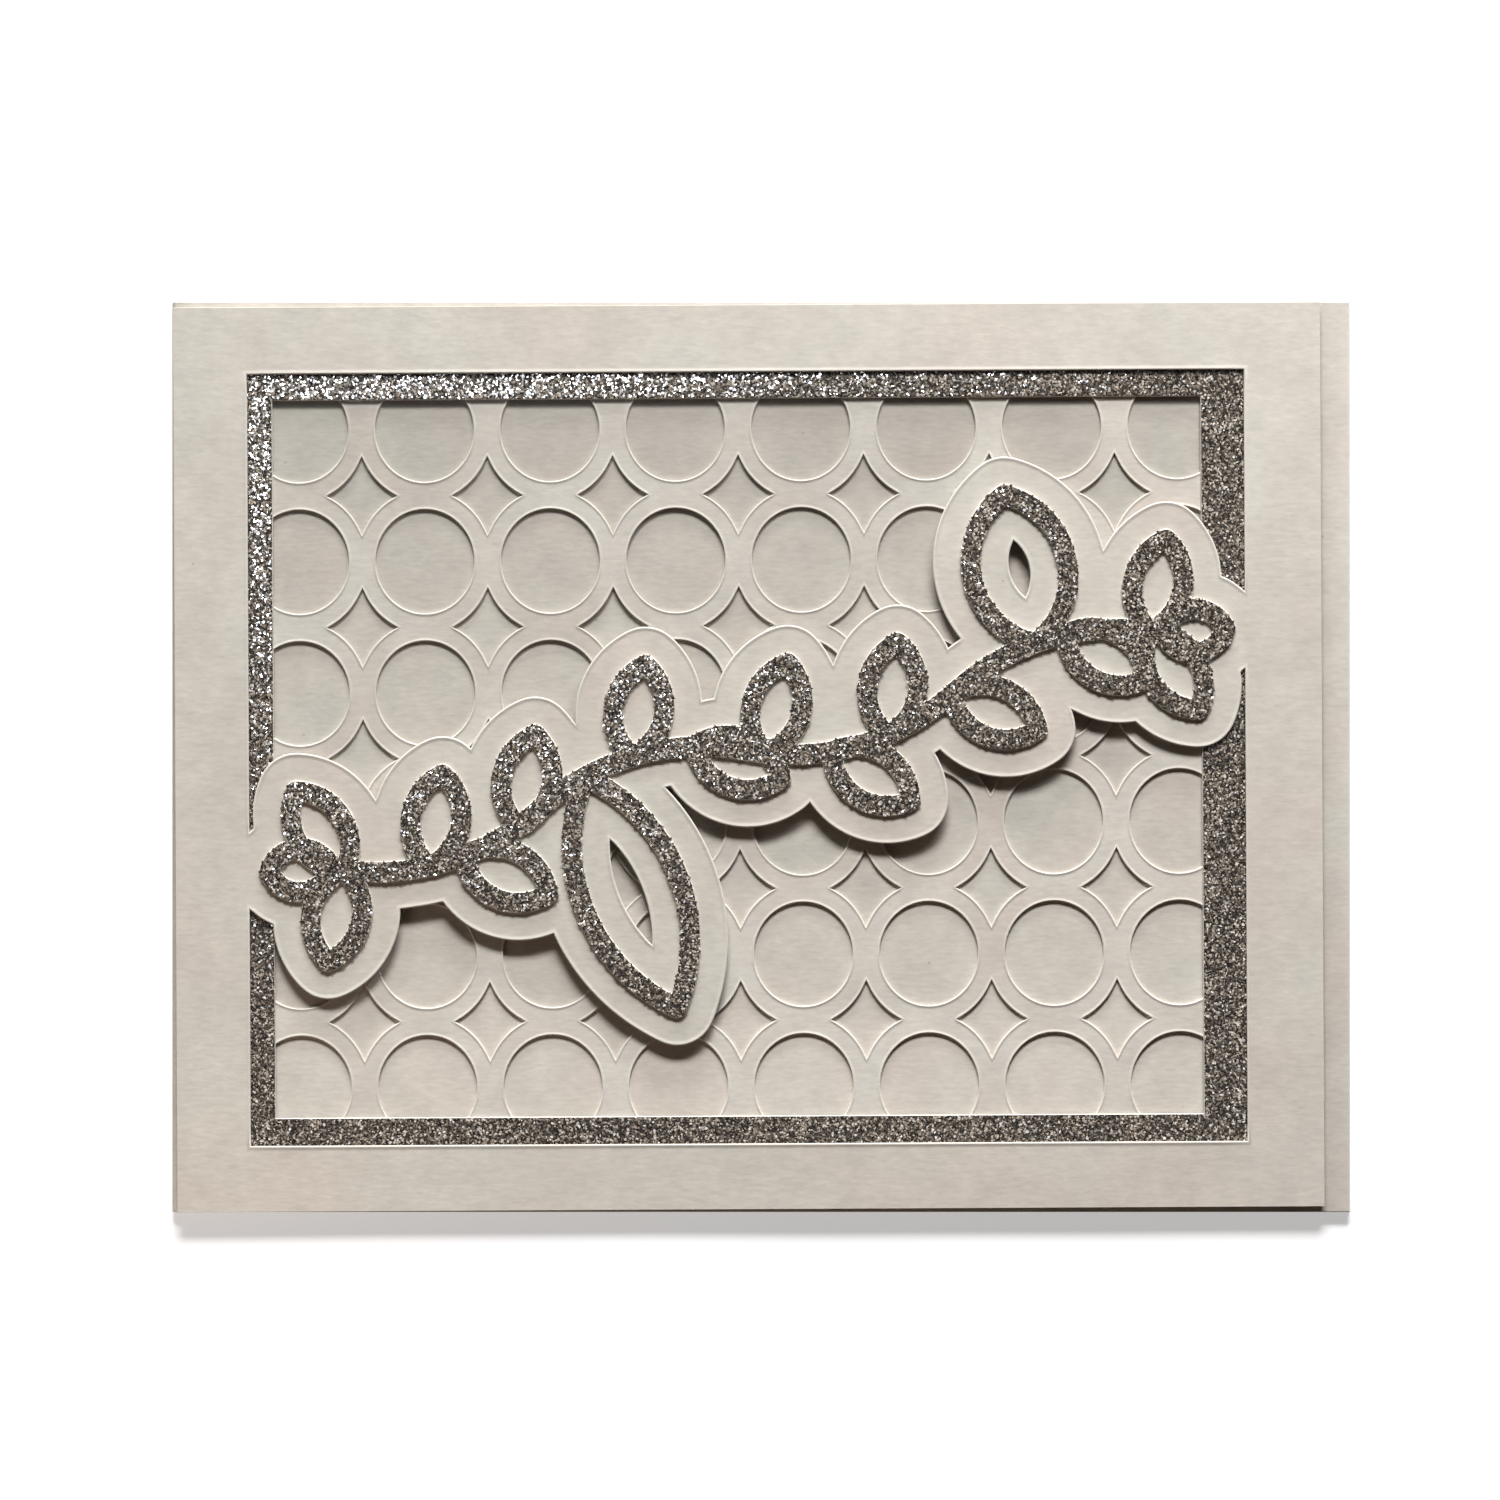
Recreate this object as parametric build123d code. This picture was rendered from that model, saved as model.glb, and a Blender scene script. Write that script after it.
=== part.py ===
"""Layered greeting card: a folded card with four die-cut sheets glued on its front.

The card lies on its back. +X runs to the right and +Y up the front as it is read, +Z is out
of the front. The origin is the middle of the underside. Lengths are in millimetres.
"""

from build123d import *
from math import cos, radians
import os

# the folded card: one sheet, fold at the left
card_width = 139.7
card_height = 107.95
card_sheet = 0.33
fold_gap = 0.36

# the sheets glued on it a little askew, and what they leave bare
panel_left_gap = 0.41
panel_right_gap = 3.32
panel_end_gap = 0.375
panel_lean = 0.3
white_sheet = 0.33
glitter_sheet = 0.36
hidden_inset = 0.3

# window of the top frame, as the borders left round it
border_left = 8.75
border_right = 9.1
border_top = 7.95
border_bottom = 7.8

# glitter rim that shows inside that window
rim_left = 2.96
rim_right = 5.14
rim_top = 3.15
rim_bottom = 3.28

# ring lattice
ring_columns = 8
ring_rows = 6
ring_pitch_x = 14.88
ring_pitch_y = 15.6
ring_outer_width = 16.01
ring_outer_height = 17.09
ring_hole_width = 11.67
ring_hole_height = 12.33
ring_sides = 26
lattice_shift = 0.18

# leafy flourish of glitter strokes, and the white margin that the band leaves round it
stroke_width = 2.5
band_margin = 3.25
flourish_rise = 15.5
flourish_lift = 0.88
stem_end_gap = 10.1
stem_waves = 4
stem_sagitta = 3.0
leaf_length = 11.0
leaf_width = 6.0
end_leaf_length = 7.4
end_leaf_width = 5.2
hanging_leaf_length = 29.5
hanging_leaf_width = 11.8
tall_leaf_length = 18.0
tall_leaf_width = 11.4

# where each leaf grows, as a share of the stem's length, and the angle that it grows at
upper_leaf_shares = [0.015, 0.11, 0.22, 0.37, 0.52, 0.66, 0.985]
upper_leaf_angles = [106, 66, 64, 66, 60, 68, 64]
lower_leaf_shares = [0.015, 0.15, 0.44, 0.595, 0.745, 0.89, 0.985]
lower_leaf_angles = [-116, -40, -36, -48, -38, -44, -74]
end_leaf_shares = [0, 1]
end_leaf_angles = [168, -12]
hanging_leaf_share = 0.3125
hanging_leaf_angle = -84
tall_leaf_share = 0.855
tall_leaf_angle = 86

# heights of the layers, each lying on the one below
card_thickness = 2 * card_sheet + fold_gap
lattice_z = card_thickness
glitter_frame_z = lattice_z + white_sheet
top_frame_z = glitter_frame_z + glitter_sheet
flourish_z = top_frame_z + white_sheet

# sizes and places that follow from those above
panel_width = card_width - panel_left_gap - panel_right_gap
panel_height = card_height - 2 * panel_end_gap
panel_x = (panel_left_gap - panel_right_gap) / 2
window_width = panel_width - border_left - border_right
window_height = panel_height - border_top - border_bottom
window_x = panel_x + (border_left - border_right) / 2
window_y = (border_bottom - border_top) / 2
opening_width = window_width - rim_left - rim_right
opening_height = window_height - rim_top - rim_bottom
opening_x = window_x + (rim_left - rim_right) / 2
opening_y = window_y + (rim_bottom - rim_top) / 2
stem_length = window_width / cos(radians(flourish_rise)) - 2 * stem_end_gap
lean = Rot(0, 0, panel_lean)


def cut_sheet(outline, z, thickness):
    """A flat sheet with this outline, leaning as the glued sheets do, its back at height z."""
    return Pos(0, 0, z) * lean * extrude(outline, thickness)


def card_base():
    """The card itself: back panel, round fold at the left and front panel in one sheet."""
    outer_radius = card_thickness / 2
    inner_radius = fold_gap / 2
    fold_x = -card_width / 2 + outer_radius
    panel_length = card_width - outer_radius
    fold = Pos(fold_x, outer_radius) * (Circle(outer_radius) - Circle(inner_radius))
    fold -= Pos(fold_x, outer_radius) * Rectangle(card_width, card_width, align=(Align.MIN, Align.CENTER))
    corner = (Align.MIN, Align.MIN)
    back = Pos(fold_x, 0) * Rectangle(panel_length, card_sheet, align=corner)
    front = Pos(fold_x, card_sheet + fold_gap) * Rectangle(panel_length, card_sheet, align=corner)
    profile = fold + back + front
    return extrude(Plane.XZ * profile, card_height / 2, both=True)


def oval(width, height):
    """An ellipse as short sides, which stay within 0.07 mm of its curve."""
    rim = Ellipse(width / 2, height / 2).edge()
    return Polygon(*[rim @ (side / ring_sides) for side in range(ring_sides)], align=None)


def lattice_diamond():
    """The hole that four neighbouring rings leave between them."""
    corners = GridLocations(ring_pitch_x, ring_pitch_y, 2, 2)
    return Rectangle(ring_pitch_x, ring_pitch_y) - corners * oval(ring_outer_width, ring_outer_height)


def ring_lattice():
    """The sheet of overlapping rings, plain towards its edges, where the frames cover it."""
    middle = Pos(opening_x + lattice_shift, opening_y)
    rings = GridLocations(ring_pitch_x, ring_pitch_y, ring_columns, ring_rows)
    gaps = GridLocations(ring_pitch_x, ring_pitch_y, ring_columns - 1, ring_rows - 1)
    outline = Pos(panel_x, 0) * Rectangle(panel_width - 2 * hidden_inset, panel_height - 2 * hidden_inset)
    outline -= middle * rings * oval(ring_hole_width, ring_hole_height)
    outline -= middle * gaps * lattice_diamond()
    return cut_sheet(outline, lattice_z, white_sheet)


def glitter_frame():
    """The glitter mat between the lattice and the top frame."""
    outline = Pos(panel_x, 0) * Rectangle(panel_width - 2 * hidden_inset, panel_height - 2 * hidden_inset)
    outline -= Pos(opening_x, opening_y) * Rectangle(opening_width, opening_height)
    return cut_sheet(outline, glitter_frame_z, glitter_sheet)


def stem_arcs():
    """Centre lines of the wavy stem, left to right, along the X axis."""
    step = stem_length / stem_waves
    arcs = []
    for wave in range(stem_waves):
        start = -stem_length / 2 + wave * step
        bulge = stem_sagitta if wave % 2 else -stem_sagitta
        arcs.append(SagittaArc((start, 0), (start + step, 0), bulge))
    return arcs


def leaf_arcs(base, angle, length, width):
    """Centre lines of one leaf outline: two arcs from its base on the stem that meet at the tip."""
    tip = base + Vector(length, 0).rotate(Axis.Z, angle)
    return [SagittaArc(base, tip, width / 2), SagittaArc(base, tip, -width / 2)]


def flourish_arcs():
    """Centre lines of the stem and all its leaves."""
    arcs = stem_arcs()
    stem = Wire(arcs)
    for share, angle in zip(upper_leaf_shares + lower_leaf_shares, upper_leaf_angles + lower_leaf_angles):
        arcs += leaf_arcs(stem @ share, angle, leaf_length, leaf_width)
    for share, angle in zip(end_leaf_shares, end_leaf_angles):
        arcs += leaf_arcs(stem @ share, angle, end_leaf_length, end_leaf_width)
    arcs += leaf_arcs(stem @ hanging_leaf_share, hanging_leaf_angle, hanging_leaf_length, hanging_leaf_width)
    arcs += leaf_arcs(stem @ tall_leaf_share, tall_leaf_angle, tall_leaf_length, tall_leaf_width)
    return arcs


def flourish(width):
    """All strokes of the flourish drawn this wide, in their place in the window."""
    drawn = Sketch() + [SlotArc(arc, width) for arc in flourish_arcs()]
    return Pos(window_x, window_y + flourish_lift) * Rot(0, 0, flourish_rise) * drawn


def top_frame():
    """The white frame and the band across its window, cut from one sheet."""
    outline = Pos(panel_x, 0) * Rectangle(panel_width, panel_height)
    outline -= Pos(window_x, window_y) * Rectangle(window_width, window_height)
    outline += flourish(stroke_width + 2 * band_margin)
    return cut_sheet(outline, top_frame_z, white_sheet)


def glitter_flourish():
    """The glitter strokes on the band."""
    return cut_sheet(flourish(stroke_width), flourish_z, glitter_sheet)


os.makedirs("parts", exist_ok=True)
export_step(card_base(), "parts/card_base.step")
export_step(ring_lattice(), "parts/ring_lattice.step")
export_step(glitter_frame(), "parts/glitter_frame.step")
export_step(top_frame(), "parts/top_frame.step")
export_step(glitter_flourish(), "parts/glitter_flourish.step")
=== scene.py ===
from math import ceil, cos, pi, radians, sin

import bpy
import numpy as np
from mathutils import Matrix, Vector, geometry, kdtree


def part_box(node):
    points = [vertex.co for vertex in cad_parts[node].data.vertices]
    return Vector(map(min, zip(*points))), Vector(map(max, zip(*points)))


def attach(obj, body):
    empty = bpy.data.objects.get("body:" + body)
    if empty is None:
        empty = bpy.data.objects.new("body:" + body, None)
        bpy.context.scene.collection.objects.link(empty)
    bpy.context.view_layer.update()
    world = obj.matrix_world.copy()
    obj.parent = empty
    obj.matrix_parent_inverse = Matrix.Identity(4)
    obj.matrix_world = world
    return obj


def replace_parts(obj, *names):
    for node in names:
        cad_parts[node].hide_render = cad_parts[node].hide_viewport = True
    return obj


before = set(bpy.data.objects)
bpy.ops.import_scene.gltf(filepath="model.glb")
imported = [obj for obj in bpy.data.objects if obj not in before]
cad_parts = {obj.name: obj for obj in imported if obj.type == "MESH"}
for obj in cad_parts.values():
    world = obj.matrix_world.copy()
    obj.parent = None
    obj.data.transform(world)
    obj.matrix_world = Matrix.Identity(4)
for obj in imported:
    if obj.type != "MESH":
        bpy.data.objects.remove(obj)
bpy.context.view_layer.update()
scene = bpy.context.scene


# The folded card. One sheet of heavy white card stock, scored and folded once at the left. Its
# front panel, which carries every cut sheet, ripples by what the fold leaves under it, and sags
# where no mat stiffens it. Sizes are in millimetres, and meshes are written in metres.
MM = 0.001
stock = 0.33
card_width = 139.7
card_height = 107.95
fold_inner_radius = 0.18
cut_rounding = 0.05
sharp_angle = radians(50)
white_edge_width = 0.25
end_rim_width = 0.12
first_spacing = 2
panel_columns = 60
fold_columns = 18
panel_rows = 48

# how the front panel hangs, which is a guess, and the opening of the mat, inside which it sags
ripple_depth = 0.17
mean_share = 0.5
swell_share = 0.28
wave_share = 0.2
fold_reach = 14.0
opening_size = (110.02, 85.02)
opening_middle = (-2.72, -0.01)
sag_depth = 0.19
sag_reach = 14.0

# the paper's colours, its marks by the metre, and the height of its relief
white = (0.645, 0.610, 0.545)
white_pinkish = (0.645, 0.580, 0.518)
# the colour of cut edges: on the white sheets partly the cut fibres' own lighter white and partly a painted
# highlight, on the glitter card its white core
cut_white_and_highlight = (0.74, 0.71, 0.65)
fibres_per_metre = (700, 2400, 2400)
fibre_contrast = 0.36
tooth_per_metre = 900
tooth_share = 0.5
mottle_per_metre = 260
mottle_contrast = 0.24
blotches_per_metre = 48
blotch_range = (0.35, 0.65)
specks_per_metre = 30
speck_radii = (0.003, 0.006)
speck_tone = 0.75
paper_relief = 0.012
paper_roughness = 0.85
paper_gloss = 0.03

# painted light and shade on the front panel, fitted to one picture of the card: what made it so, such as
# glue, hands or light, isn't known. The painted area is painted lighter at its bottom and darker towards
# its top, as painted shade. The levels along the bare strip at the right paint the shadow that the glued
# sheets cast on it, and the last of them paints shade along the fold. The bare margin beside the cut edge
# is painted lighter towards the top and darker towards the bottom. The painted area has these levels at its
# bottom and its top, and there are levels for these distances from the cut edge at the right, and for the
# bare margin beside it
front_panel_height = 0.6
painted_shade_area = ((-60.5, 55.5), (-47.5, 47.5))
painted_shade_levels = (1.08, 0.77)
side_shade_places = [0, 2, 3.4, 8, 10, 138.6, 139.0]
side_shade_levels = [1, 0.90, 0.81, 0.81, 1, 1, 0.86]
bare_margin = 4
margin_painted_light = 1.036
margin_painted_light_per_mm = 0.0012


def eased(share):
    """A share from 0 to 1 that starts and ends softly."""
    return share**2 * (3 - 2 * share)


def ripple(x, y):
    """How high the front panel, with all that is glued on it, lies above flat here: 0 or less."""
    swell = np.sin(x / 21.0 - 0.5) * np.cos(y / 17.0 + 0.7)
    waves = np.sin(x / 7.3 + y / 15.0 + 0.8) * np.cos(y / 8.1 - x / 21.0 + 0.3)
    depth = ripple_depth * (mean_share + swell_share * swell + wave_share * waves)
    return -depth * eased(np.clip((x + card_width / 2) / fold_reach, 0, 1))


def in_opening(x, y):
    """0 under the mat and 1 well inside its opening, where nothing stiffens the panel."""
    from_side = (opening_size[0] / 2 - np.abs(x - opening_middle[0])) / sag_reach
    from_end = (opening_size[1] / 2 - np.abs(y - opening_middle[1])) / sag_reach
    return eased(np.clip(from_side, 0, 1)) * eased(np.clip(from_end, 0, 1))


def placed(name, mesh):
    """The piece that has this mesh. It rides on the card's one body."""
    piece = bpy.data.objects.new(name, mesh)
    scene.collection.objects.link(piece)
    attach(piece, "root")
    return piece


def new_piece(name, points, faces, material, slot, node, **point_values):
    """A piece in a node's place, from points in millimetres, smooth but for its sharp edges."""
    mesh = bpy.data.meshes.new(name)
    mesh.from_pydata([tuple(p) for p in np.array(points) * MM], [], faces)
    for label, values in point_values.items():
        mesh.attributes.new(label, "FLOAT", "POINT").data.foreach_set("value", np.float32(values))
    mesh.shade_smooth()
    mesh.set_sharp_from_angle(angle=sharp_angle)
    mesh.materials.append(material)
    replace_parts(placed(name, mesh), node)


def add(tree, kind, inputs=None, **settings):
    """A node with these settings and inputs; an input that is another node's output is linked."""
    node = tree.nodes.new(kind)
    for setting, value in settings.items():
        setattr(node, setting, value)
    for key, value in (inputs or {}).items():
        if isinstance(value, bpy.types.NodeSocket):
            tree.links.new(value, node.inputs[key])
        else:
            node.inputs[key].default_value = value
    return node


def calc(tree, operation, *values):
    """The output of a Math node."""
    return add(tree, "ShaderNodeMath", dict(enumerate(values)), operation=operation).outputs[0]


def scaled(tree, vector, by):
    """A vector or a colour multiplied by a number."""
    return add(tree, "ShaderNodeVectorMath", {0: vector, "Scale": by}, operation="SCALE").outputs[0]


def mixed(tree, share, first, second):
    """The first colour, or this share of the way from it to the second."""
    inputs = {"Factor": share, 6: first, 7: second}
    return add(tree, "ShaderNodeMix", inputs, data_type="RGBA").outputs[2]


def group_tree(name, kind, inputs, outputs):
    """A node group with these sockets, and its own input sockets by name."""
    tree = bpy.data.node_groups.new(name, kind)
    for label, socket in inputs:
        tree.interface.new_socket(label, in_out="INPUT", socket_type=socket)
    for label, socket in outputs:
        tree.interface.new_socket(label, in_out="OUTPUT", socket_type=socket)
    return tree, tree.nodes.new("NodeGroupInput").outputs


def new_material(name, roughness, gloss):
    """A material with this roughness and gloss, its nodes and its shader."""
    material = bpy.data.materials.new(name)
    material.use_nodes = True
    shader = material.node_tree.nodes["Principled BSDF"]
    shader.inputs["Roughness"].default_value = roughness
    shader.inputs["Specular IOR Level"].default_value = gloss
    return material, material.node_tree, shader


def card_stock_group():
    """Colour and relief of uncoated card stock: long fibres, soft mottling, rare specks. Its cut edges are
    whiter, partly as a painted highlight, and its level paints light and shade on it, making it lighter or
    darker."""
    tree, given = group_tree(
        "Card stock",
        "ShaderNodeTree",
        [("Colour", "NodeSocketColor"), ("Tint", "NodeSocketColor")]
        + [("Edge", "NodeSocketFloat"), ("Level", "NodeSocketFloat")],
        [("Colour", "NodeSocketColor"), ("Height", "NodeSocketFloat")],
    )
    place = add(tree, "ShaderNodeTexCoord").outputs["Object"]

    def noise(per_metre, detail):
        """Soft marks, this many to the metre."""
        inputs = {"Vector": place, "Scale": per_metre, "Detail": detail}
        return add(tree, "ShaderNodeTexNoise", inputs).outputs[0]

    along = add(tree, "ShaderNodeMapping", {"Vector": place, "Scale": fibres_per_metre}).outputs[0]
    fibre = add(
        tree, "ShaderNodeTexNoise", {"Vector": along, "Scale": 1, "Detail": 3, "Roughness": 0.6}
    ).outputs[0]
    tooth = noise(tooth_per_metre, 2)
    mottle = noise(mottle_per_metre, 3)
    patch = add(
        tree,
        "ShaderNodeMapRange",
        {
            "Value": noise(blotches_per_metre, 2),
            "From Min": blotch_range[0],
            "From Max": blotch_range[1],
        },
    )
    tinted = mixed(tree, patch.outputs[0], given["Colour"], given["Tint"])
    grain = calc(tree, "MULTIPLY_ADD", fibre, fibre_contrast, 1 - fibre_contrast / 2)
    cloud = calc(tree, "MULTIPLY_ADD", mottle, mottle_contrast, 1 - mottle_contrast / 2)
    cells = add(
        tree, "ShaderNodeTexVoronoi", {"Vector": place, "Scale": specks_per_metre}, voronoi_dimensions="2D"
    )
    speck = add(
        tree,
        "ShaderNodeMapRange",
        {
            "Value": cells.outputs["Distance"],
            "From Min": speck_radii[0],
            "From Max": speck_radii[1],
            "To Min": speck_tone,
        },
    )
    shade = calc(tree, "MULTIPLY", calc(tree, "MULTIPLY", grain, cloud), speck.outputs[0])
    whiter = mixed(tree, given["Edge"], scaled(tree, tinted, shade), (*cut_white_and_highlight, 1))
    relief = calc(tree, "ADD", fibre, calc(tree, "MULTIPLY", tooth, tooth_share))
    add(tree, "NodeGroupOutput", {"Colour": scaled(tree, whiter, given["Level"]), "Height": relief})
    return tree


card_stock = card_stock_group()


def paper(name, colour, tint, toned=False):
    """A white card stock of this colour, tinted in patches. A toned one carries painted light and shade:
    its point values "level" make it lighter or darker, and are 1 where its colour stays as it is."""
    material, tree, shader = new_material(name, paper_roughness, paper_gloss)
    edge = add(tree, "ShaderNodeAttribute", attribute_name="cut_edge").outputs["Fac"]
    level = 1.0
    if toned:
        level = add(tree, "ShaderNodeAttribute", attribute_name="level").outputs["Fac"]
    stock_look = add(
        tree,
        "ShaderNodeGroup",
        {"Colour": (*colour, 1), "Tint": (*tint, 1), "Edge": edge, "Level": level},
        node_tree=card_stock,
    )
    bump = add(
        tree, "ShaderNodeBump", {"Height": stock_look.outputs["Height"], "Distance": paper_relief * MM}
    )
    tree.links.new(stock_look.outputs["Colour"], shader.inputs["Base Color"])
    tree.links.new(bump.outputs[0], shader.inputs["Normal"])
    return material


def paint_area_shade(material):
    """Paints light on the front panel at the bottom of the painted area and shade towards its top."""
    tree = material.node_tree
    shader = tree.nodes["Principled BSDF"]
    colour = shader.inputs["Base Color"].links[0].from_socket
    place = add(tree, "ShaderNodeTexCoord").outputs["Object"]
    axes = add(tree, "ShaderNodeSeparateXYZ", {0: place}).outputs
    inside = calc(tree, "GREATER_THAN", axes[2], front_panel_height * MM)
    for axis, (low, high) in zip(axes, painted_shade_area):
        within = calc(tree, "COMPARE", axis, (low + high) / 2 * MM, (high - low) / 2 * MM)
        inside = calc(tree, "MULTIPLY", inside, within)
    bottom, top = painted_shade_area[1]
    level = add(
        tree,
        "ShaderNodeMapRange",
        {
            "Value": axes[1],
            "From Min": bottom * MM,
            "From Max": top * MM,
            "To Min": painted_shade_levels[0],
            "To Max": painted_shade_levels[1],
        },
    )
    amount = add(tree, "ShaderNodeMix", {"Factor": inside, "A": 1.0, "B": level.outputs[0]})
    tree.links.new(scaled(tree, colour, amount.outputs[0]), shader.inputs["Base Color"])


def folded_card():
    """Points and faces of the card: a bent strip swept from its bottom edge to its top one."""
    middle_radius = fold_inner_radius + stock / 2
    fold_x = fold_inner_radius + stock - card_width / 2
    fold_z = fold_inner_radius + stock
    even = np.linspace(first_spacing, card_width / 2 - fold_x, panel_columns)
    from_edge = np.concatenate([[0, cut_rounding, white_edge_width], even])
    bend = np.radians(np.linspace(-90, -270, fold_columns + 2))[1:-1]
    panel_x = card_width / 2 - from_edge
    zeros = np.zeros(len(from_edge))
    x = np.concatenate([panel_x, fold_x + middle_radius * np.cos(bend), panel_x[::-1]])
    bend_z = fold_z + middle_radius * np.sin(bend)
    z = np.concatenate([zeros + stock / 2, bend_z, zeros + fold_z + middle_radius])
    out_x = np.concatenate([zeros, np.cos(bend), zeros])
    out_z = np.concatenate([zeros - 1, np.sin(bend), zeros + 1])
    ends = np.where(from_edge == 0, stock / 2 - cut_rounding, stock / 2)
    half = np.concatenate([ends, bend * 0 + stock / 2, ends[::-1]])
    rim = np.array([0, cut_rounding, end_rim_width])
    even = np.linspace(first_spacing, card_height - first_spacing, panel_rows)
    rows = np.concatenate([rim, even, card_height - rim[::-1]]) - card_height / 2
    count = len(x)
    points = []
    for y in rows:
        thin = half - cut_rounding if y in (rows[0], rows[-1]) else half
        hang = np.where(z > fold_z, ripple(x, y) - sag_depth * in_opening(x, y), 0)
        outside = np.stack([x + out_x * thin, x * 0 + y, z + out_z * thin + hang], 1)
        inside = np.stack([x - out_x * thin, x * 0 + y, z - out_z * thin + hang], 1)
        points += [*outside, *inside[::-1]]
    loop = 2 * count
    faces = []
    for row in range(len(rows) - 1):
        for i in range(loop):
            a, b = row * loop + i, row * loop + (i + 1) % loop
            faces.append((a, b, b + loop, a + loop))
    last = (len(rows) - 1) * loop
    for i in range(count - 1):
        faces.append((loop - 1 - i, loop - 2 - i, i + 1, i))
        faces.append((last + i, last + i + 1, last + loop - 2 - i, last + loop - 1 - i))
    return points, faces


card_paper = paper("card_paper", white_pinkish, white, toned=True)
# painted light and shade: the painted area of the front panel is lighter at its bottom and darker towards
# its top
paint_area_shade(card_paper)
points, faces = folded_card()
x, y, z = np.array(points).T
from_cut = card_width / 2 - x
# painted shadow of the glued sheets on the bare strip at the right, painted shade along the fold, and
# painted light that grows towards the top of the bare margin
panel_light_and_shade = np.interp(from_cut, side_shade_places, side_shade_levels)
panel_light_and_shade *= np.where(from_cut < bare_margin, margin_painted_light + margin_painted_light_per_mm * y, 1)
new_piece(
    "folded_card",
    points,
    faces,
    card_paper,
    "white_card",
    "card_base",
    cut_edge=np.clip(1 - from_cut / white_edge_width, 0, 1),
    level=np.where(z > front_panel_height, panel_light_and_shade, 1),
)


# The ring lattice. A second sheet of white card stock, die cut into overlapping rings with a curved diamond
# between each four, and glued on the front panel, with which it sags. The die turned its cut edges up a
# little, which leaves a fine bright line along them, and a painted highlight, which colours the cut edges
# whiter, adds to it.
lean = radians(0.3)
panel_width = 135.97
panel_height = 107.2
panel_x = -1.455
hidden_inset = 0.3
ring_columns = 8
ring_rows = 6
ring_pitch = (14.88, 15.6)
ring_outer = (16.01, 17.09)
ring_hole = (11.67, 12.33)
lattice_middle = (-2.54, -0.01)
hole_sides = 60
diamond_sides = 56
turned_up = 0.07
lip_width = 0.40
lattice_white = (0.700, 0.665, 0.600)

# painted shade on the lattice: how much darker its upper left part is painted, fitted to the same picture,
# and where that sets in and fades out
lattice_painted_shade = 0.10
painted_shade_from_y = (-12, 12)
painted_shade_to_x = (22, 48)

# how a cut line is filled in and meshed: a side is straight where it is longer than the chord of
# an arc or lies between two corners
arc_chord = 4.0
corner_angle = radians(34)
arc_step = 0.6
straight_step = 2.2
step_slack = 0.2
longest_mitre = 1.6
crowding = 0.3
same_height = 0.01
same_place = 1e-6

# where the lattice's glue is taken to have let go: x, y, how high it stands there and how wide
loose_places = [(-10.4, 26.2, 0.13, 7.5), (-17.5, 17.0, 0.10, 6.0), (22.0, 12.0, 0.06, 9.0)]


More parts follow.
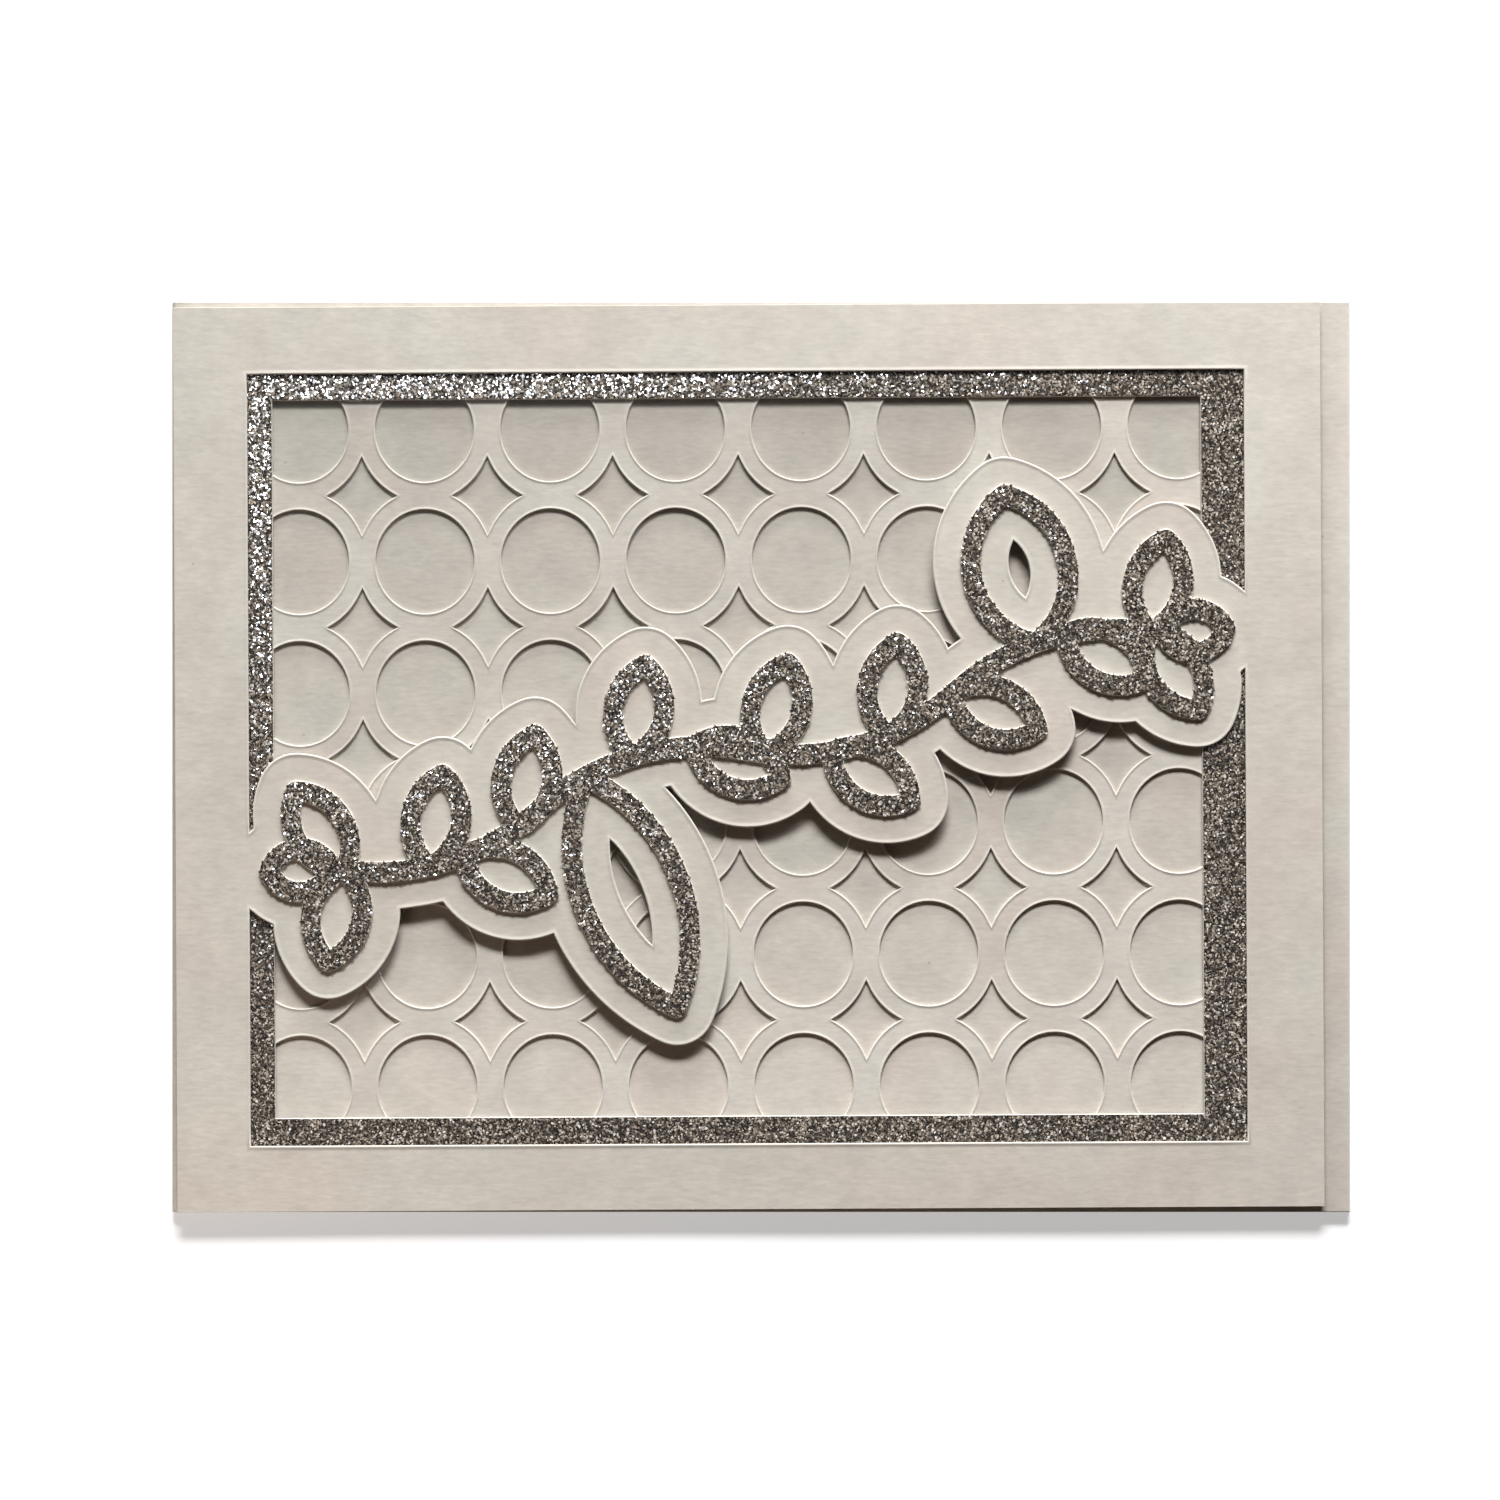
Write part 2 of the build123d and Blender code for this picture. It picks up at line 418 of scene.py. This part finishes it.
def ring_pattern():
    """Node tree of the flat lattice: ovals and diamonds cut from a sheet."""
    sizes = ["Pitch X", "Pitch Y", "Outer X", "Outer Y", "Hole X", "Hole Y", "Sheet X", "Sheet Y"]
    tree, given = group_tree(
        "Ring pattern",
        "GeometryNodeTree",
        [("Geometry", "NodeSocketGeometry"), ("Columns", "NodeSocketInt"), ("Rows", "NodeSocketInt")]
        + [(size, "NodeSocketFloat") for size in sizes]
        + [("Pattern Place", "NodeSocketVector"), ("Sheet Place", "NodeSocketVector")]
        + [("Material", "NodeSocketMaterial")],
        [("Geometry", "NodeSocketGeometry")],
    )

    def half(name):
        """Half of the size with this name."""
        return calc(tree, "DIVIDE", given[name], 2.0)

    def repeated(curve, fewer):
        """The curve on a grid with this many fewer columns and rows than there are rings."""
        columns = calc(tree, "SUBTRACT", given["Columns"], fewer)
        rows = calc(tree, "SUBTRACT", given["Rows"], fewer)
        grid = add(
            tree,
            "GeometryNodeMeshGrid",
            {
                "Vertices X": columns,
                "Vertices Y": rows,
                "Size X": calc(tree, "MULTIPLY", calc(tree, "SUBTRACT", columns, 1.0), given["Pitch X"]),
                "Size Y": calc(tree, "MULTIPLY", calc(tree, "SUBTRACT", rows, 1.0), given["Pitch Y"]),
            },
        )
        moved = add(
            tree,
            "GeometryNodeTransform",
            {"Geometry": grid.outputs["Mesh"], "Translation": given["Pattern Place"]},
        )
        copies = add(
            tree, "GeometryNodeInstanceOnPoints", {"Points": moved.outputs[0], "Instance": curve}
        )
        return copies.outputs[0]

    circle = add(tree, "GeometryNodeCurvePrimitiveCircle", {"Resolution": hole_sides, "Radius": 1.0})
    hole_size = add(tree, "ShaderNodeCombineXYZ", {"X": half("Hole X"), "Y": half("Hole Y"), "Z": 1.0})
    oval = add(
        tree, "GeometryNodeTransform", {"Geometry": circle.outputs[0], "Scale": hole_size.outputs[0]}
    )
    start = calc(tree, "ARCSINE", calc(tree, "DIVIDE", given["Pitch Y"], given["Outer Y"]))
    end = calc(tree, "ARCCOSINE", calc(tree, "DIVIDE", given["Pitch X"], given["Outer X"]))
    round_line = add(
        tree, "GeometryNodeCurvePrimitiveCircle", {"Resolution": diamond_sides, "Radius": 1.0}
    )
    place = add(tree, "GeometryNodeInputPosition").outputs[0]
    axes = add(tree, "ShaderNodeSeparateXYZ", {0: place}).outputs
    quarter = calc(tree, "ARCTAN2", calc(tree, "ABSOLUTE", axes[1]), calc(tree, "ABSOLUTE", axes[0]))
    share = calc(tree, "DIVIDE", quarter, pi / 2)
    angle = calc(tree, "MULTIPLY_ADD", share, calc(tree, "SUBTRACT", end, start), start)
    reach_x = calc(tree, "MULTIPLY", half("Outer X"), calc(tree, "COSINE", angle))
    reach_y = calc(tree, "MULTIPLY", half("Outer Y"), calc(tree, "SINE", angle))
    corner_x = calc(tree, "SUBTRACT", half("Pitch X"), reach_x)
    corner_y = calc(tree, "SUBTRACT", half("Pitch Y"), reach_y)
    bent = add(
        tree,
        "ShaderNodeCombineXYZ",
        {
            "X": calc(tree, "MULTIPLY", calc(tree, "SIGN", axes[0]), corner_x),
            "Y": calc(tree, "MULTIPLY", calc(tree, "SIGN", axes[1]), corner_y),
        },
    )
    diamond = add(
        tree, "GeometryNodeSetPosition", {"Geometry": round_line.outputs[0], "Position": bent.outputs[0]}
    )
    sheet = add(
        tree,
        "GeometryNodeCurvePrimitiveQuadrilateral",
        {"Width": given["Sheet X"], "Height": given["Sheet Y"]},
    )
    outline = add(
        tree, "GeometryNodeTransform", {"Geometry": sheet.outputs[0], "Translation": given["Sheet Place"]}
    )
    lines = add(tree, "GeometryNodeJoinGeometry")
    for part in (outline.outputs[0], repeated(oval.outputs[0], 0), repeated(diamond.outputs[0], 1)):
        tree.links.new(part, lines.inputs[0])
    real = add(tree, "GeometryNodeRealizeInstances", {"Geometry": lines.outputs[0]})
    filled = add(tree, "GeometryNodeFillCurve", {"Curve": real.outputs[0]})
    finished = add(
        tree, "GeometryNodeSetMaterial", {"Geometry": filled.outputs[0], "Material": given["Material"]}
    )
    add(tree, "NodeGroupOutput", {"Geometry": finished.outputs[0]})
    return tree


def grown(tree, start_mesh, **values):
    """What a node tree with these inputs makes of a mesh, as a plain mesh."""
    host = bpy.data.objects.new(tree.name, start_mesh)
    scene.collection.objects.link(host)
    modifier = host.modifiers.new(tree.name, "NODES")
    modifier.node_group = tree
    for socket in tree.interface.items_tree:
        label = socket.name.replace(" ", "_")
        if socket.in_out == "INPUT" and label in values:
            modifier[socket.identifier] = values[label]
    depsgraph = bpy.context.evaluated_depsgraph_get()
    made = bpy.data.meshes.new_from_object(host.evaluated_get(depsgraph), depsgraph=depsgraph)
    host.modifiers.remove(modifier)
    bpy.data.objects.remove(host)
    return made


def cut_lines(mesh):
    """Border lines of a mesh's top, in millimetres, each a closed line with the sheet on its left."""
    top = max(vertex.co.z for vertex in mesh.vertices)
    sides = {}
    for polygon in mesh.polygons:
        corners = [mesh.vertices[i].co for i in polygon.vertices]
        if polygon.normal.z > 0.5 and all(corner.z > top - same_height * MM for corner in corners):
            names = [(round(corner.x / MM, 4), round(corner.y / MM, 4)) for corner in corners]
            for here, there in zip(names, names[1:] + names[:1]):
                if (there, here) in sides:
                    del sides[there, here]
                else:
                    sides[here, there] = True
    lines = []
    while sides:
        first, second = next(iter(sides))
        del sides[first, second]
        line = [first]
        while second != line[0]:
            line.append(second)
            step = next(side for side in sides if side[0] == second)
            del sides[step]
            second = step[1]
        lines.append(np.array(line))
    return lines


def directions(line):
    """The unit directions and lengths of the sides that end and start at each point of a line."""
    onward = np.roll(line, -1, 0) - line
    length = np.linalg.norm(onward, axis=1, keepdims=True)
    onward = onward / length
    return np.roll(onward, 1, 0), onward, np.roll(length, 1, 0), length


def rounded(line):
    """The same line with its arcs filled in between their short chords and its long sides divided."""
    arriving, leaving, length_in, length_out = directions(line)
    turn = np.arccos(np.clip((arriving * leaving).sum(1), -1, 1))
    on_arc = (turn < corner_angle) & (length_in[:, 0] < arc_chord) & (length_out[:, 0] < arc_chord)
    tangent = arriving * length_out + leaving * length_in
    tangent /= np.linalg.norm(tangent, axis=1, keepdims=True)
    finer = []
    for i in range(len(line)):
        j = (i + 1) % len(line)
        chord, along = length_out[i, 0], leaving[i]
        if chord > arc_chord or not (on_arc[i] or on_arc[j]):
            start = end = along
            step = straight_step
        else:
            start = tangent[i] if on_arc[i] else 2 * (along @ tangent[j]) * along - tangent[j]
            end = tangent[j] if on_arc[j] else 2 * (along @ tangent[i]) * along - tangent[i]
            step = arc_step
        count = ceil(chord / step - step_slack)
        for share in np.arange(count) / count:
            finer.append(
                line[i] * (2 * share**3 - 3 * share**2 + 1)
                + line[j] * (3 * share**2 - 2 * share**3)
                + start * chord * (share**3 - 2 * share**2 + share)
                + end * chord * (share**3 - share**2)
            )
    return np.array(finer)


def inset(line, distance):
    """The line moved this far into the sheet on its left."""
    arriving, leaving, _, _ = directions(line)
    aside = arriving + leaving
    aside = np.stack([-aside[:, 1], aside[:, 0]], 1)
    size = np.linalg.norm(aside, axis=1, keepdims=True)
    return line + aside / size * distance * np.minimum(2 / size, longest_mitre)


def triangles_left_of(sides, places):
    """Triangles between these places that fill what lies to the left of the sides."""
    _, _, found, origins, _, _ = geometry.delaunay_2d_cdt(places, sides, [], 0, same_place)
    triangles = [tuple(origins[i][0] for i in triangle) for triangle in found]
    owner = {}
    for t in triangles:
        owner.update({(t[0], t[1]): t, (t[1], t[2]): t, (t[2], t[0]): t})
    fences = set(sides) | {(b, a) for a, b in sides}
    waiting = [owner[side] for side in sides]
    kept = set(waiting)
    while waiting:
        t = waiting.pop()
        for a, b in ((t[0], t[1]), (t[1], t[2]), (t[2], t[0])):
            beyond = owner.get((b, a))
            if (a, b) not in fences and beyond and beyond not in kept:
                kept.add(beyond)
                waiting.append(beyond)
    return sorted(kept)


def spanning(x, y):
    """How far a sheet that spans the opening flat stands above the ripples of the panel."""
    return -ripple(x, y) * in_opening(x, y)


def cut_sheet(lines, rim, outer_rim=None, lifted=spanning):
    """A sheet cut along these lines. A rim runs round a cut from the back to the front: how far
    each ring of points lies in from the cut, its height, and how white the cut leaves it. The
    outer rim is that of the widest line."""
    lines = sorted((rounded(line) for line in lines), key=lambda line: -np.ptp(line[:, 0]))
    points, faces, whiteness, back, front = [], [], [], [], []
    for line in lines:
        count = len(line)
        first = len(points)
        rings = outer_rim if outer_rim and line is lines[0] else rim
        back.append(range(first, first + count))
        front.append(range(first + (len(rings) - 1) * count, first + len(rings) * count))
        for depth, height, white_edge in rings:
            points += [(x, y, height) for x, y in inset(line, depth)]
            whiteness += [white_edge] * count
        for ring in range(len(rings) - 1):
            for i in range(count):
                a, b = first + ring * count + i, first + ring * count + (i + 1) % count
                faces.append((a, b, b + count, a + count))
    border = [Vector(points[i][:2]) for ring in front for i in ring]
    sides = []
    for ring in front:
        start = len(sides)
        sides += [(start + i, start + (i + 1) % len(ring)) for i in range(len(ring))]
    near = kdtree.KDTree(len(border))
    for i, point in enumerate(border):
        near.insert((*point, 0), i)
    near.balance()
    reach = np.abs(np.concatenate(lines)).max(0) + straight_step
    inner = [
        Vector((x, y))
        for x in np.arange(-reach[0], reach[0], straight_step)
        for y in np.arange(-reach[1], reach[1], straight_step)
        if near.find((x, y, 0))[2] > crowding * straight_step
    ]
    triangles = triangles_left_of(sides, border + inner)
    used = sorted({i for triangle in triangles for i in triangle if i >= len(border)})
    for rings, height, order in ((back, rim[0][1], -1), (front, rim[-1][1], 1)):
        number = dict(enumerate(i for ring in rings for i in ring))
        for place in used:
            number[place] = len(points)
            points.append((*inner[place - len(border)], height))
            whiteness.append(0)
        faces += [[number[i] for i in triangle][::order] for triangle in triangles]
    points = np.array(points)
    x, y = points[:, 0], points[:, 1]
    points[:, 2] += ripple(x, y) + lifted(x, y)
    return points, faces, whiteness


def leaning(line):
    """A line turned about the middle of the card, as the sheets were glued."""
    return line @ np.array([[cos(lean), sin(lean)], [-sin(lean), cos(lean)]])


def sagging(x, y):
    """How far the lattice hangs inside the opening, less where its glue let go of the panel."""
    lift = -sag_depth * in_opening(x, y)
    for place_x, place_y, height, radius in loose_places:
        lift += height * np.exp(-((x - place_x) ** 2 + (y - place_y) ** 2) / radius**2)
    return lift


def white_rim(low, high, turned, width):
    """The cut edge of a hole in a white sheet: rounded by the die, which also turned it up."""
    # the third value of each ring is how far it is coloured towards the cut edges' white, which is partly a
    # painted highlight
    return [
        (1.2 * width, low, 0),
        (0.0, low, 0.3),
        (0.0, high - 0.12, 0.6),
        (0.075 * width, high - 0.05, 0.6),
        (0.20 * width, high - 0.012, 0.6),
        (0.325 * width, high, 0.4),
        (0.50 * width, high - 0.31 * turned, 0.1),
        (0.80 * width, high - 0.86 * turned, 0),
        (width, high - turned, 0),
        (1.2 * width, high - turned, 0),
    ]


def trimmed_rim(low, high, turned):
    """The edge of a white sheet that was trimmed square."""
    # the third value of each ring is how far it is coloured towards the cut edges' white, which is partly a
    # painted highlight
    flat = high - turned
    return [(0.40, low, 0), (0.0, low, 0.3), (0.0, flat - 0.04, 0.3), (0.03, flat, 0.1), (0.36, flat, 0)]


lattice_paper = paper("lattice_paper", lattice_white, white_pinkish, toned=True)
low, high = (corner.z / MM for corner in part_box("ring_lattice"))
pattern = grown(
    ring_pattern(),
    bpy.data.meshes.new("pattern_start"),
    Columns=ring_columns,
    Rows=ring_rows,
    Pitch_X=ring_pitch[0] * MM,
    Pitch_Y=ring_pitch[1] * MM,
    Outer_X=ring_outer[0] * MM,
    Outer_Y=ring_outer[1] * MM,
    Hole_X=ring_hole[0] * MM,
    Hole_Y=ring_hole[1] * MM,
    Sheet_X=(panel_width - 2 * hidden_inset) * MM,
    Sheet_Y=(panel_height - 2 * hidden_inset) * MM,
    Pattern_Place=[lattice_middle[0] * MM, lattice_middle[1] * MM, 0],
    Sheet_Place=[panel_x * MM, 0, 0],
    Material=lattice_paper,
)
lines = [leaning(line) for line in cut_lines(pattern)]
rims = white_rim(low, high, turned_up, lip_width), trimmed_rim(low, high, turned_up)
points, faces, whiteness = cut_sheet(lines, *rims, sagging)
# painted shade: the lattice is painted darker in its upper left part
upper = np.interp(points[:, 1], painted_shade_from_y, [0, 1])
leftward = np.interp(points[:, 0], painted_shade_to_x, [1, 0])
new_piece(
    "ring_lattice_sheet",
    points,
    faces,
    lattice_paper,
    "white_card",
    "ring_lattice",
    cut_edge=whiteness,
    level=1 - lattice_painted_shade * upper * leftward,
)


# The glitter frame. A mat cut from glitter card, which is white card coated with silver flakes in
# clear glue, and glued on the lattice. Only its inner rim shows in the window of the sheet on top.
window_size = (118.12, 91.45)
window_middle = (-1.63, -0.075)
flake_layer = 0.08
flake_size = 0.39
flake_spacing = 0.36
flake_tilt = radians(13)
flake_spread = ((0.5, 0.4, 0.7), (1.5, 1.1, 1.1))
flake_roughness = 0.07
flake_gloss = 0.3
rim_flake_margin = 0.28
rim_flakes_per_mm2 = 18.0

# a flake's colour by its own tone, from 0 to 1, which differs at random: most are dull and a few near
# white. These colours are partly painted reflection, standing in for what silver flakes mirror
dullest = (0.006, 0.005, 0.004)
tone_levels = ((0.30, 0.040), (0.60, 0.135), (0.82, 0.42))
warm_silver = (1.12, 0.93, 0.75)
painted_reflection_white = (0.85, 0.82, 0.78)

# the facets of the coat between and under the flakes
facets_per_metre = 5400
facet_lean = 0.9
facet_tone = 0.95
coat_roughness = 0.15
coat_gloss = 0.05


def glitter_tones_group():
    """The colour of a flake or a facet from its own tone."""
    tree, given = group_tree(
        "Glitter tones", "ShaderNodeTree", [("Tone", "NodeSocketFloat")], [("Colour", "NodeSocketColor")]
    )
    ramp = add(tree, "ShaderNodeValToRGB", {"Fac": given["Tone"]})
    steps = ramp.color_ramp.elements
    steps[0].color = (*dullest, 1)
    steps[1].position = 1.0
    steps[1].color = (*painted_reflection_white, 1)
    for position, level in tone_levels:
        steps.new(position).color = (*(level * part for part in warm_silver), 1)
    add(tree, "NodeGroupOutput", {"Colour": ramp.outputs[0]})
    return tree


glitter_tones = glitter_tones_group()


def glitter_flakes_material():
    """Aluminised film flakes, each with its own tone, whose colour is partly painted reflection."""
    material, tree, shader = new_material("silver_flakes", flake_roughness, flake_gloss)
    tone = add(tree, "ShaderNodeAttribute", attribute_name="tone").outputs["Fac"]
    toned = add(tree, "ShaderNodeGroup", {"Tone": tone}, node_tree=glitter_tones)
    tree.links.new(toned.outputs["Colour"], shader.inputs["Base Color"])
    return material


def glitter_ground_material():
    """The coat between and under the flakes: facets that each have their own tone and lean."""
    material, tree, shader = new_material("glitter_ground", coat_roughness, coat_gloss)
    place = add(tree, "ShaderNodeTexCoord").outputs["Object"]
    cells = add(tree, "ShaderNodeTexVoronoi", {"Vector": place, "Scale": facets_per_metre}).outputs["Color"]
    core = add(tree, "ShaderNodeAttribute", attribute_name="cut_edge").outputs["Fac"]
    facet = add(tree, "ShaderNodeVectorMath", {0: cells, 1: (0.5, 0.5, 0.5)}, operation="SUBTRACT")
    lean_by = calc(tree, "MULTIPLY_ADD", core, -facet_lean, facet_lean)
    lean_most = add(tree, "ShaderNodeCombineXYZ", {"X": lean_by, "Y": lean_by})
    upright = add(tree, "ShaderNodeNewGeometry").outputs["Normal"]
    turned = add(
        tree,
        "ShaderNodeVectorMath",
        {0: facet.outputs[0], 1: lean_most.outputs[0], 2: upright},
        operation="MULTIPLY_ADD",
    )
    normal = add(tree, "ShaderNodeVectorMath", {0: turned.outputs[0]}, operation="NORMALIZE")
    tone = add(tree, "ShaderNodeSeparateColor", {0: cells}).outputs[2]
    darker = calc(tree, "MULTIPLY", tone, facet_tone)
    toned = add(tree, "ShaderNodeGroup", {"Tone": darker}, node_tree=glitter_tones)
    colour = mixed(tree, core, toned.outputs["Colour"], (*cut_white_and_highlight, 1))
    tree.links.new(colour, shader.inputs["Base Color"])
    tree.links.new(normal.outputs[0], shader.inputs["Normal"])
    return material


def flake_scatter():
    """Node tree that lays flakes on a surface, tilted at random."""
    tree, given = group_tree(
        "Glitter flakes",
        "GeometryNodeTree",
        [
            ("Geometry", "NodeSocketGeometry"),
            ("Density", "NodeSocketFloat"),
            ("Spacing", "NodeSocketFloat"),
            ("Flake Size", "NodeSocketFloat"),
            ("Tilt", "NodeSocketFloat"),
            ("Seed", "NodeSocketInt"),
            ("Material", "NodeSocketMaterial"),
        ],
        [("Geometry", "NodeSocketGeometry")],
    )
    spots = add(
        tree,
        "GeometryNodeDistributePointsOnFaces",
        {
            "Mesh": given["Geometry"],
            "Distance Min": given["Spacing"],
            "Density Max": given["Density"],
            "Seed": given["Seed"],
        },
        distribute_method="POISSON",
    )
    flake = add(
        tree,
        "GeometryNodeMeshCone",
        {"Vertices": 4, "Radius Top": 0.45, "Radius Bottom": 0.5, "Depth": 0.10},
        fill_type="NGON",
    )
    other_way = calc(tree, "MULTIPLY", given["Tilt"], -1.0)
    least = add(tree, "ShaderNodeCombineXYZ", {"X": other_way, "Y": other_way})
    most = add(tree, "ShaderNodeCombineXYZ", {"X": given["Tilt"], "Y": given["Tilt"], "Z": 2 * pi})
    turn = add(
        tree,
        "FunctionNodeRandomValue",
        {0: least.outputs[0], 1: most.outputs[0], "Seed": 11},
        data_type="FLOAT_VECTOR",
    )
    spread = add(
        tree,
        "FunctionNodeRandomValue",
        {0: flake_spread[0], 1: flake_spread[1], "Seed": 12},
        data_type="FLOAT_VECTOR",
    )
    laid = add(
        tree,
        "GeometryNodeInstanceOnPoints",
        {
            "Points": spots.outputs["Points"],
            "Instance": flake.outputs["Mesh"],
            "Rotation": turn.outputs[0],
            "Scale": scaled(tree, spread.outputs[0], given["Flake Size"]),
        },
    )
    tone = add(tree, "FunctionNodeRandomValue", {"Seed": 13}, data_type="FLOAT")
    toned = add(
        tree,
        "GeometryNodeStoreNamedAttribute",
        {"Geometry": laid.outputs[0], "Name": "tone", "Value": tone.outputs[1]},
        data_type="FLOAT",
        domain="INSTANCE",
    )
    real = add(tree, "GeometryNodeRealizeInstances", {"Geometry": toned.outputs[0]})
    finished = add(
        tree, "GeometryNodeSetMaterial", {"Geometry": real.outputs[0], "Material": given["Material"]}
    )
    add(tree, "NodeGroupOutput", {"Geometry": finished.outputs[0]})
    return tree


def rectangle(size, middle, hole=False):
    """A rectangle's corners, in the order that keeps the sheet on the left."""
    corners = np.array([(-1, -1), (1, -1), (1, 1), (-1, 1)]) * np.array(size) / 2 + np.array(middle)
    return leaning(corners[::-1] if hole else corners)


def glitter_rim(low, high):
    """The cut edge of glitter card: its white core, bevelled where the coat broke away from it."""
    return [
        (0.30, low, 0),
        (0.0, low, 1),
        (0.0, low + 0.13, 1),
        (0.08, high - 0.04, 1),
        (0.11, high, 0),
        (0.30, high, 0),
    ]


def strewn(name, lines, height, margin, per_mm2, seed):
    """A piece of flakes on a field at this height, a margin in from its border lines. It keeps
    under the top of its solid."""
    points, faces, _ = cut_sheet(lines, [(margin, height, 0), (margin + 0.01, height, 0)])
    field = bpy.data.meshes.new(name)
    upward = [face for face in faces if len(face) == 3]
    field.from_pydata([tuple(p) for p in points * MM], [], upward[len(upward) // 2 :])
    mesh = grown(
        scatter,
        field,
        Density=per_mm2 / MM**2,
        Spacing=flake_spacing * flake_size * MM,
        Flake_Size=flake_size * MM,
        Tilt=flake_tilt,
        Seed=seed,
        Material=silver_flakes,
    )
    for vertex in mesh.vertices:
        vertex.co.z = min(vertex.co.z, (height + flake_layer) * MM)
    mesh.name = name
    placed(name, mesh)


scatter = flake_scatter()
silver_flakes = glitter_flakes_material()
glitter_ground = glitter_ground_material()
low, high = (corner.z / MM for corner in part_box("glitter_frame"))
coat = high - flake_layer
opening = rectangle(opening_size, opening_middle, hole=True)
sheet_size = (panel_width - 2 * hidden_inset, panel_height - 2 * hidden_inset)
points, faces, core = cut_sheet([rectangle(sheet_size, (panel_x, 0)), opening], glitter_rim(low, coat))
new_piece(
    "glitter_frame_card", points, faces, glitter_ground, "silver_glitter", "glitter_frame", cut_edge=core
)
shown = [rectangle(window_size, window_middle), opening]
strewn("glitter_frame_flakes", shown, coat, rim_flake_margin, rim_flakes_per_mm2, seed=3)


# The top frame. A white sheet with a rectangular window and, in one piece with it, the slanting
# band with its scalloped edge. It is glued on the glitter frame, and the band spans the opening.
top_turned_up = 0.075
top_lip_width = 0.54
top_paper = paper("top_paper", white, white_pinkish)
low, high = (corner.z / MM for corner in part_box("top_frame"))
lines = cut_lines(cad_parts["top_frame"].data)
rims = white_rim(low, high, top_turned_up, top_lip_width), trimmed_rim(low, high, top_turned_up)
points, faces, whiteness = cut_sheet(lines, *rims)
new_piece("top_frame_sheet", points, faces, top_paper, "white_card", "top_frame", cut_edge=whiteness)


# The flourish. A stem with leaves, cut in one piece from the same glitter card as the frame and
# glued along the middle of the band.
flourish_flake_margin = 0.06
flourish_flakes_per_mm2 = 18.0
low, high = (corner.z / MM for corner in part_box("glitter_flourish"))
coat = high - flake_layer
lines = cut_lines(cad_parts["glitter_flourish"].data)
points, faces, core = cut_sheet(lines, glitter_rim(low - top_turned_up, coat))
new_piece(
    "flourish_card", points, faces, glitter_ground, "silver_glitter", "glitter_flourish", cut_edge=core
)
strewn("flourish_flakes", lines, coat, flourish_flake_margin, flourish_flakes_per_mm2, seed=8)


# The table, the lamps and the camera. The card lies on a white table. Two lamps beyond its top edge
# pick out every cut edge, small ones at three corners, two of them tinted, fit the paper's tones,
# and one over its upper left shines in the glitter alone. The camera looks straight down.
table_size = 4.0
table_grey = 0.82
table_roughness = 0.9
table_glow = 0.45
fill_colour = (0.025, 0.017, 0.012)

# the camera is view_height above the sheets, where it sees view_width across
view_middle = (-1.305, 0.83)
view_width = 177.9
view_height = 950.0
sheet_height = 1.2
film_width = 36
nearest_seen = 10


def lamp(name, place, size, power, colour=(1, 1, 1), aim=(0, 0, 0), beam=pi, in_gloss=True, on_matt=True):
    """An oval lamp this wide and high at a place in metres, turned to its aim. A grid on it can
    narrow its beam."""
    data = bpy.data.lights.new(name, "AREA")
    data.shape = "ELLIPSE"
    data.size, data.size_y = size
    data.energy = power
    data.color = colour
    data.spread = beam
    shining = bpy.data.objects.new(name, data)
    shining.location = place
    shining.rotation_euler = (Vector(aim) - Vector(place)).to_track_quat("-Z", "Y").to_euler()
    shining.visible_camera = False
    shining.visible_glossy = in_gloss
    shining.visible_diffuse = on_matt
    scene.collection.objects.link(shining)


def seen_directly(tree):
    """1 for what the camera sees directly, in a gloss or through glass, and 0 for other light."""
    path = add(tree, "ShaderNodeLightPath").outputs
    seen = calc(tree, "MAXIMUM", path["Is Camera Ray"], path["Is Glossy Ray"])
    return calc(tree, "MAXIMUM", seen, path["Is Transmission Ray"])


table_white, tree, shader = new_material("table_white", table_roughness, 0.0)
shader.inputs["Base Color"].default_value = (table_grey, table_grey, table_grey, 1)
shader.inputs["Emission Color"].default_value = (1, 1, 1, 1)
glow = calc(tree, "MULTIPLY", seen_directly(tree), table_glow)
tree.links.new(glow, shader.inputs["Emission Strength"])
table_mesh = bpy.data.meshes.new("table")
half = table_size / 2
corners = [(-half, -half, 0), (half, -half, 0), (half, half, 0), (-half, half, 0)]
table_mesh.from_pydata(corners, [], [(0, 1, 2, 3)])
table_mesh.materials.append(table_white)
table = bpy.data.objects.new("table", table_mesh)
scene.collection.objects.link(table)

world = bpy.data.worlds.new("studio")
world.use_nodes = True
scene.world = world
tree = world.node_tree
surround = mixed(tree, seen_directly(tree), (*fill_colour, 1), (1, 1, 1, 1))
tree.links.new(surround, tree.nodes["Background"].inputs["Color"])

lamp("key", (0, 2.26, 1.26), (1.3, 0.5), 88.5)
lamp("low_key", (0, 2.4, 0.45), (1.3, 0.3), 44)
lamp("top_right", (0.10, 0.20, 0.12), (0.07, 0.07), 0.205, in_gloss=False)
lamp("bottom_left", (-0.12, -0.11, 0.05), (0.06, 0.06), 0.022, colour=(1.2, 0.95, 0.80), in_gloss=False)
lamp("top_left", (-0.12, 0.11, 0.06), (0.06, 0.06), 0.0065, colour=(0.2, 1.0, 0.85), in_gloss=False)
lamp(
    "top_left_glint",
    (-0.046, 0.076, 0.13),
    (0.12, 0.10),
    0.275,
    colour=(0.96, 1.0, 1.07),
    aim=(-0.046, 0.062, 0),
    beam=radians(42),
    on_matt=False,
)

camera = bpy.data.objects.new("camera", bpy.data.cameras.new("camera"))
camera.location = (view_middle[0] * MM, view_middle[1] * MM, (view_height + sheet_height) * MM)
camera.data.sensor_width = film_width
camera.data.lens = film_width * view_height / view_width
camera.data.clip_start = nearest_seen * MM
scene.collection.objects.link(camera)
scene.camera = camera
scene.view_settings.view_transform = "Standard"
